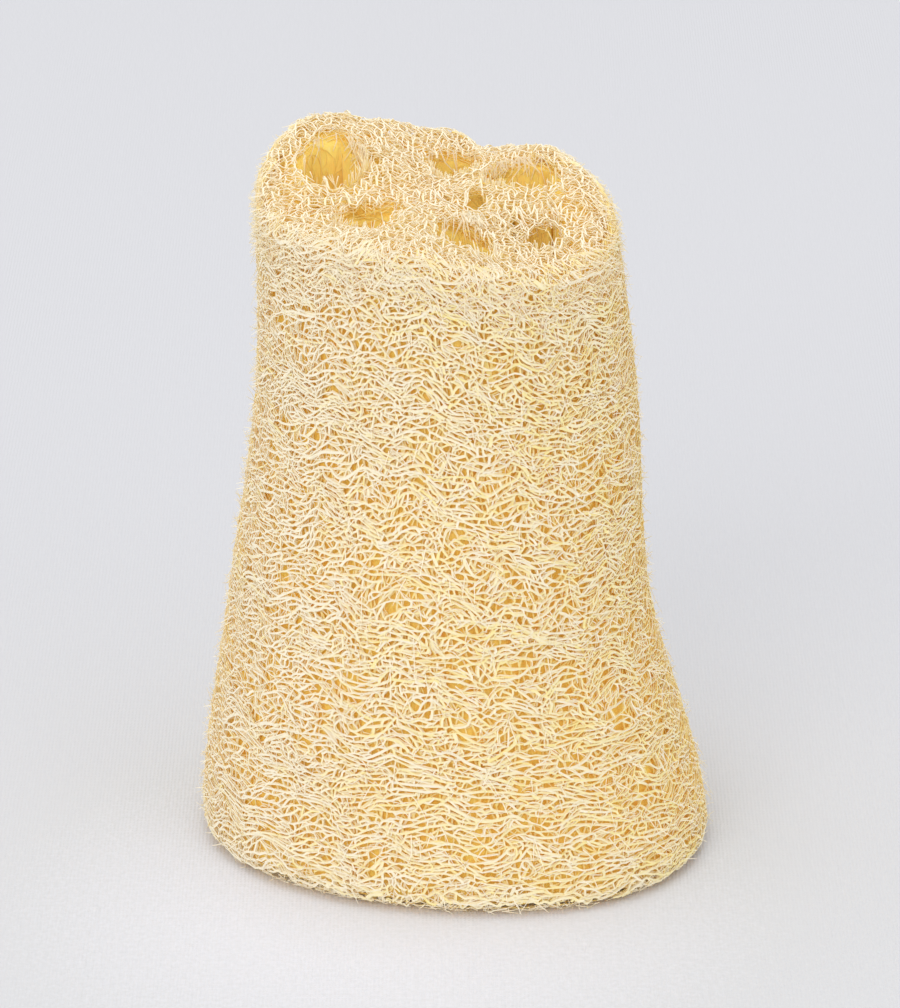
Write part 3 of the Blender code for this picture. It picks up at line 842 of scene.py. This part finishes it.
class LOOFAH_OT_channel_threads(bpy.types.Operator):
    """Lines the seed channels with threads that run along them"""

    bl_idname = "loofah.channel_threads"
    bl_label = "Channel threads"

    def execute(self, context):
        for seed, plan in enumerate(PLANS, 60):
            bundle = Bundle()
            rng = np.random.default_rng(seed)
            points, pairs = net_of_cells(LINING_GIRTH, LINING_LENGTH, 4.6 * MM, 0.3, seed, True)
            points, strands = eased_net(points, pairs, seed, LINING_GIRTH)
            u, v = points.T
            turn = u / LINING_GIRTH * math.tau
            share = np.clip(v / LINING_LENGTH, 0.006, 1) - 0.004
            inset = 0.12 * MM + 0.1 * MM * ripples(u, v, 4 * MM, seed + 10, LINING_GIRTH)
            placed = channel_wall(plan, turn, share, inset)
            out = channel_wall(plan, turn, share, inset + LOOK_IN) - placed
            for strand in strands:
                thick = rng.lognormal(-0.9, 0.3)
                tone = np.clip(rng.normal(0.7, 0.1), 0, 1)
                bundle.add(placed[strand], thick, tone, out[strand])
            self.hang(bundle, plan, rng)
            piece = sweep(bundle, "threads_" + plan[0])
            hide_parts("lining_" + plan[0])
        return {"FINISHED"}

    def hang(self, bundle, plan, rng):
        """Adds fibres that bend over a channel's edge and run some way down its wall."""
        for k in range(HANGING[plan[0]]):
            # Most of those in the large mouth at the back left hang from its inner side
            place = rng.normal(3.6, 0.4) if plan[0] == "back_left" and k % 3 else rng.uniform(0, math.tau)
            turn = place + rng.normal(0, 0.2) * np.array((0, 0.3, 1)) + rng.normal(0, 0.06, 3)
            share = 1 - rng.uniform(1.5, 6) * MM / LENGTH * np.array((-0.1, 0.4, 1))
            inset = rng.uniform(0.1, 0.7) * MM
            run = channel_wall(plan, turn, share, inset)
            out = channel_wall(plan, turn, share, inset + LOOK_IN) - run
            bundle.add(run, (0.85, 0.75, 0.4), (-0.2, 0.0, 0.2), out)


# The sides of the square nets over the two cuts, and how far inside the outline they end
TOP_NET, FOOT_NET = 76 * MM, 106 * MM
TOP_EDGE, FOOT_EDGE = 0.4 * MM, 1.5 * MM
# The top cut's layers: depth and cell in mm, tone, bends for each step, and seed
TOP_LAYERS = (
    (0.1, 1.35, -0.15, 2, 80), (0.7, 1.35, -0.05, 2, 80), (1.5, 1.5, 0.12, 1, 87), (2.3, 1.5, 0.35, 1, 87),
)


class LOOFAH_OT_cut_faces(bpy.types.Operator):
    """Lays the tangle of cut fibres over the two cut faces"""

    bl_idname = "loofah.cut_faces"
    bl_label = "Cut faces"

    def execute(self, context):
        for number, (depth, cell, tone, bends, seed) in enumerate(TOP_LAYERS, 1):
            bundle = Bundle((0, 0, 1))
            self.tangle(bundle, depth * MM, cell * MM, tone, seed)
            sweep(bundle, f"cut_tangle_{number}", bends)
        bundle = Bundle((0, 0, -1))
        for depth, tone, seed in ((0, 0.0, 40), (1.0, 0.3, 41)):
            self.foot_tangle(bundle, depth * MM, tone, seed)
        sweep(bundle, "foot_tangle")
        bundle = Bundle()
        self.stubs(bundle)
        self.tuft(bundle)
        sweep(bundle, "cut_stubs")
        return {"FINISHED"}

    def tangle(self, bundle, depth, cell, tone, seed):
        """One flat net over the top cut, with holes where the channels are."""
        rng = np.random.default_rng(seed)
        points, pairs = net_of_cells(TOP_NET, TOP_NET, cell, 1.15, seed, False)
        kept = self.is_cut_fibre(points - TOP_NET / 2, depth, seed)
        points, strands = eased_net(points, pairs[kept[pairs].all(1)], seed)
        # Deeper layers stray further from the first, so that they show in its gaps
        stray = 0.25 * MM * (depth / (0.7 * MM))
        x, y = points[:, 0] - TOP_NET / 2, points[:, 1] - TOP_NET / 2
        x, y = x + stray * ripples(x, y, 4 * MM, 17), y + stray * ripples(x, y, 4 * MM, 18)
        angle, radius = polar(x, y)
        edge = rim_reach(angle) - TOP_EDGE
        rough = 0.5 * MM * ripples(x, y, 9 * MM, 77) + 0.6 * MM * ripples(x, y, 2.5 * MM, seed + 1)
        near_edge = RIM_ROUNDING * quarter_round((radius - edge) / RIM_ROUNDING + 1)
        z = cut_height(angle, np.minimum(radius, edge - RIM_ROUNDING)) - depth - near_edge + rough
        placed = from_pole(angle, radius, np.full_like(radius, LENGTH))
        placed[:, 2] = z
        for strand in strands:
            shade = np.clip(tone + rng.normal(0, 0.1), -PALE_ROOM, 1)
            bundle.add(placed[strand], rng.lognormal(-0.28, 0.22), shade)

    def foot_tangle(self, bundle, depth, tone, seed):
        """One flat net over the cut under the foot."""
        rng = np.random.default_rng(seed)

        def foot_plan(points):
            x, y = points[:, 0] - FOOT_NET / 2, points[:, 1] - FOOT_NET / 2
            angle, radius = polar(x, y)
            return x, y, angle, radius, plain_radius(angle, np.zeros_like(angle)) - FOOT_EDGE

        points, pairs = net_of_cells(FOOT_NET, FOOT_NET, 2.2 * MM, 1.15, seed, False)
        x, y, angle, radius, edge = foot_plan(points)
        kept = (radius < edge) & (in_channel(angle, radius / CHANNEL_SPREAD) > 0.95)
        points, strands = eased_net(points, pairs[kept[pairs].all(1)], seed)
        x, y, angle, radius, edge = foot_plan(points)
        # The net bends up all round, to meet the outside
        rise = 2.0 * MM * np.clip(1 - (edge - radius) / (3 * MM), 0, 1) ** 2
        z = 0.35 * MM + depth + rise + 0.15 * MM * ripples(x, y, 3 * MM, seed + 1)
        placed = from_pole(angle, radius, np.zeros_like(radius))
        placed[:, 2] = z
        for strand in strands:
            bundle.add(placed[strand], rng.lognormal(0, 0.22), np.clip(tone + rng.normal(0, 0.08), 0, 1))

    def is_cut_fibre(self, places, depth, seed):
        """Whether each place is inside the rim and outside the holes, whose mouths are ragged."""
        x, y = places.T
        angle, radius = polar(x, y)
        overhang = 0.14 * ripples(x, y, 3 * MM, seed + 2)
        solid = in_channel(angle, radius) > 1 + overhang
        # The front right channel's mouth is netted over but for a small hole at its front
        netted = (np.hypot(x - 17 * MM, y + 6 * MM) < 6.5 * MM) & (depth < 2 * MM)
        hole = np.hypot((x - 21.2 * MM) / 1.6, (y + 10.6 * MM) / 2.6) < 1.1 * MM
        pit = np.hypot((x - 8.4 * MM) / 1.2, (y + 0.8 * MM) / 2.7) < (1 + 1.5 * overhang) * MM
        in_rim = radius < rim_reach(angle) - TOP_EDGE - 0.3 * depth
        return in_rim & (solid | netted) & ~hole & ~pit

    def on_cut(self, x, y, lift):
        """Points over the top cut, at places in its plan."""
        angle, radius = polar(x, y)
        placed = from_pole(angle, radius, np.full_like(radius, LENGTH))
        placed[:, 2] = cut_height(angle, radius) + lift
        return placed

    def stubs(self, bundle):
        """The cut ends that stand up round each channel's mouth, most of them on its front side."""
        rng = np.random.default_rng(9)
        count = 60
        for _, start, depth, low, high, _ in PLANS:
            # That is the outer side of those at the front, and the inner side of those at the back
            nearest = math.pi / 2 if low > 3.5 else -math.pi / 2
            turn = rng.normal(nearest, 1.0, count)
            across = (low + high) / 2 + (high - low) / 2 * np.cos(turn) * 1.05
            radius = start + depth / 2 + depth / 2 * np.sin(turn) * 1.05 + rng.uniform(0, 1.2, count) * MM
            x, y = radius * np.cos(across), radius * np.sin(across)
            height = rng.uniform(-0.8, 1.2, count) * MM
            lean = rng.normal(0, 0.8, (2, count)) * MM
            steps = [
                self.on_cut(x + lean[0] * t, y + lean[1] * t, height * t - 2.5 * MM * (1 - t))
                for t in (0, 0.6, 1)
            ]
            for run in np.stack(steps, 1):
                bundle.add(run, (0.8, 0.75, 0.45), rng.uniform(-0.3, 0.1))

    def tuft(self, bundle):
        """A bright tuft of small loops behind the front channel's mouth."""
        rng = np.random.default_rng(10)
        t = np.linspace(-1, 1, 5)
        for _ in range(80):
            turn, half = rng.uniform(0, math.pi), rng.uniform(0.4, 1.0) * MM
            x = rng.normal(8, 1.3) * MM + half * t * math.cos(turn) + rng.normal(0, 0.2) * MM * t * t
            y = rng.normal(-10.8, 0.7) * MM + half * t * math.sin(turn)
            lift = rng.uniform(-0.2, 0.9) * MM + 0.7 * MM * (1 - t * t)
            bundle.add(self.on_cut(x, y, lift), 0.75, -PALE_ROOM)


class LOOFAH_OT_loose_ends(bpy.types.Operator):
    """Adds the fibre ends that stand out of the outside and round the cut"""

    bl_idname = "loofah.loose_ends"
    bl_label = "Loose ends"

    def execute(self, context):
        bundle = Bundle()
        count = context.scene.loofah_fibres.loose_ends
        # All over the outside, round the rim, and round the foot
        self.add(bundle, 1, count * 4 // 5, (0.003, 1), (0.2, 1.6), 0.6)
        self.add(bundle, 2, count // 3, (0.92, 1), (0.2, 1.6), 0.8)
        self.add(bundle, 3, count // 5, (0.0015, 0.035), (-1.2, 0.5), 1.2)
        sweep(bundle, "loose_ends")
        return {"FINISHED"}

    def add(self, bundle, seed, count, shares, lifts, inset):
        """Adds short fibres that leave the outside at shares of the way up. Lifts and inset are in mm."""
        rng = np.random.default_rng(seed)
        angle = rng.uniform(0, math.tau, count)
        share = rng.uniform(*shares, count)
        length = rng.uniform(1.2, 4.0, count) * MM
        slope = rng.normal(0, 0.8, count)
        way = rng.choice((-1, 1), count)
        lift = rng.uniform(*lifts, count) * MM
        sag = rng.normal(0, 0.5, count)
        radius = plain_radius(angle, share * LENGTH)
        steps = []
        for t in (0, 0.35, 0.7, 1):
            forward = way * length * t * np.cos(slope)
            upward = length * t * np.sin(slope) + sag * length * t * t
            level = np.clip(share + upward / LENGTH, 0.002, 1)
            out = (lift + 0.4 * MM) * t * t
            steps.append(skin(angle + forward / radius, level, inset * MM - out))
        for run in np.stack(steps, 1):
            bundle.add(run, (0.65, 0.6, 0.45, 0.25), rng.uniform(-PALE_ROOM, 0))


# The stage


def cloth_material(colour):
    """Fine plain-woven cloth, with painted light round the foot and painted shade towards the back."""
    material, nodes = new_material("cloth")
    place = nodes.add("ShaderNodeTexCoord", {}, {}, output=3)
    threads = {"Vector": place, "Scale": 420, "Distortion": 1.5, "Detail": 1}
    warp = nodes.add("ShaderNodeTexWave", {"bands_direction": "X"}, threads, output=1)
    weft = nodes.add("ShaderNodeTexWave", {"bands_direction": "Y"}, threads, output=1)
    bump = {"Height": warp * weft, "Strength": 0.45, "Distance": 0.15 * MM}
    normal = nodes.add("ShaderNodeBump", {}, bump)
    # Painted light and shade: the cloth is painted brightest, in a bluish white, round the front left of
    # the foot, and a little darker towards the back
    from_front = nodes.add("ShaderNodeVectorMath", {"operation": "ADD"}, {0: place, 1: (0.014, 0.036, 0)})
    reach = nodes.add("ShaderNodeVectorMath", {"operation": "LENGTH"}, {0: from_front}, output=1)
    back = nodes.add("ShaderNodeSeparateXYZ", {}, {"Vector": place}, output=1)
    mottle = nodes.add("ShaderNodeTexNoise", {}, {"Vector": place, "Scale": 900, "Detail": 1})
    near = (1 - (reach - 0.03) / 0.055).clamped()
    shade = ((back + 0.12) / 0.3).clamped() * 0.4 - near * 0.6 + (mottle - 0.5) * 0.55 + 0.6
    # The first stop is painted light round the foot, the last is painted shade at the back
    light, shaded_back = tinted(colour, (1.17, 1.165, 1.205)), tinted(colour, (0.975, 0.972, 0.985))
    stops = [(0, light), (0.6, colour), (1, shaded_back)]
    shades = nodes.add("ShaderNodeValToRGB", {"stops": stops}, {"Fac": shade.clamped()})
    finish_material(nodes, {"Base Color": shades, "Roughness": 0.9, "Normal": normal})
    return material


class LOOFAH_OT_stage(bpy.types.Operator):
    """Sets up the cloth, the light and the camera"""

    bl_idname = "loofah.stage"
    bl_label = "Studio"

    def execute(self, context):
        studio = context.scene.loofah_studio
        self.make_cloth(studio)
        self.make_light(studio)
        self.make_camera(context)
        context.scene.view_settings.view_transform = "Standard"
        context.scene.cycles.max_bounces = 24
        context.scene.cycles.diffuse_bounces = 16
        return {"FINISHED"}

    def make_cloth(self, studio):
        mesh = bpy.data.meshes.new("cloth")
        reach = 6
        corners = [(reach * x, reach * y, 0) for x, y in ((-1, -1), (1, -1), (1, 1), (-1, 1))]
        mesh.from_pydata(corners, [], [(0, 1, 2, 3)])
        mesh.materials.append(cloth_material(tuple(studio.cloth)))
        cloth = new_object("cloth", mesh)

    def make_light(self, studio):
        world = bpy.data.worlds.new("studio")
        bpy.context.scene.world = world
        world.use_nodes = True
        background = world.node_tree.nodes["Background"].inputs
        background["Color"].default_value = (1, 1, 1, 1)
        background["Strength"].default_value = 0.95
        # Each lamp's place, width, power and colour
        lamps = (
            ("key", (-1.2, -2.5, 1.75), 2.0, studio.key_power, (1, 0.99, 0.965)),
            ("fill", (1.6, -2.2, 1.2), 1.5, studio.key_power * 0.2, (1, 1, 1)),
            ("top", (-0.2, 0.2, 2.6), 1.5, studio.key_power * 0.5, (1, 1, 1)),
        )
        for name, place, size, power, colour in lamps:
            lamp = bpy.data.lights.new(name, "AREA")
            lamp.shape, lamp.size, lamp.energy, lamp.color = "DISK", size, power, colour
            holder = new_object(name, lamp)
            holder.location = place
            towards = Vector((0, 0, 0.07)) - Vector(place)
            holder.rotation_euler = towards.to_track_quat("-Z", "Y").to_euler()

    def make_camera(self, context):
        """A long lens that looks a little down on the loofah's middle from the front."""
        camera = bpy.data.cameras.new("camera")
        holder = new_object("camera", camera)
        target = Vector((0, 0, 0.067))
        distance, elevation = 1.145, math.radians(22.43)
        away = Vector((0, -math.cos(elevation), math.sin(elevation)))
        holder.location = target + away * distance
        holder.rotation_euler = (-away).to_track_quat("-Z", "Y").to_euler()
        camera.lens, camera.sensor_width = 207.2, 36
        picture_height = 1008
        camera.shift_x, camera.shift_y = -4.8 / picture_height, 2.8 / picture_height
        camera.clip_start, camera.clip_end = 0.1, 50
        context.scene.camera = holder


class LOOFAH_PT_panel(bpy.types.Panel):
    """Lists the loofah's pieces in the sidebar"""

    bl_idname = "LOOFAH_PT_panel"
    bl_label = "Loofah"
    bl_space_type = "VIEW_3D"
    bl_region_type = "UI"
    bl_category = "Loofah"

    def draw(self, context):
        for settings in (context.scene.loofah_fibres, context.scene.loofah_studio):
            for name in settings.bl_rna.properties.keys():
                if name not in ("rna_type", "name"):
                    self.layout.prop(settings, name)
        for operator in OPERATORS:
            self.layout.operator(operator.bl_idname)


OPERATORS = (
    LOOFAH_OT_inner_mat,
    LOOFAH_OT_outer_fibres,
    LOOFAH_OT_channel_threads,
    LOOFAH_OT_cut_faces,
    LOOFAH_OT_loose_ends,
    LOOFAH_OT_stage,
)
CLASSES = (LoofahFibres, LoofahStudio, *OPERATORS, LOOFAH_PT_panel)


def register():
    for kind in CLASSES:
        bpy.utils.register_class(kind)
    bpy.types.Scene.loofah_fibres = bpy.props.PointerProperty(type=LoofahFibres)
    bpy.types.Scene.loofah_studio = bpy.props.PointerProperty(type=LoofahStudio)


def unregister():
    del bpy.types.Scene.loofah_studio
    del bpy.types.Scene.loofah_fibres
    for kind in reversed(CLASSES):
        bpy.utils.unregister_class(kind)


def main():
    register()
    for operator in OPERATORS:
        group, name = operator.bl_idname.split(".")
        getattr(getattr(bpy.ops, group), name)()


if __name__ == "__main__":
    main()
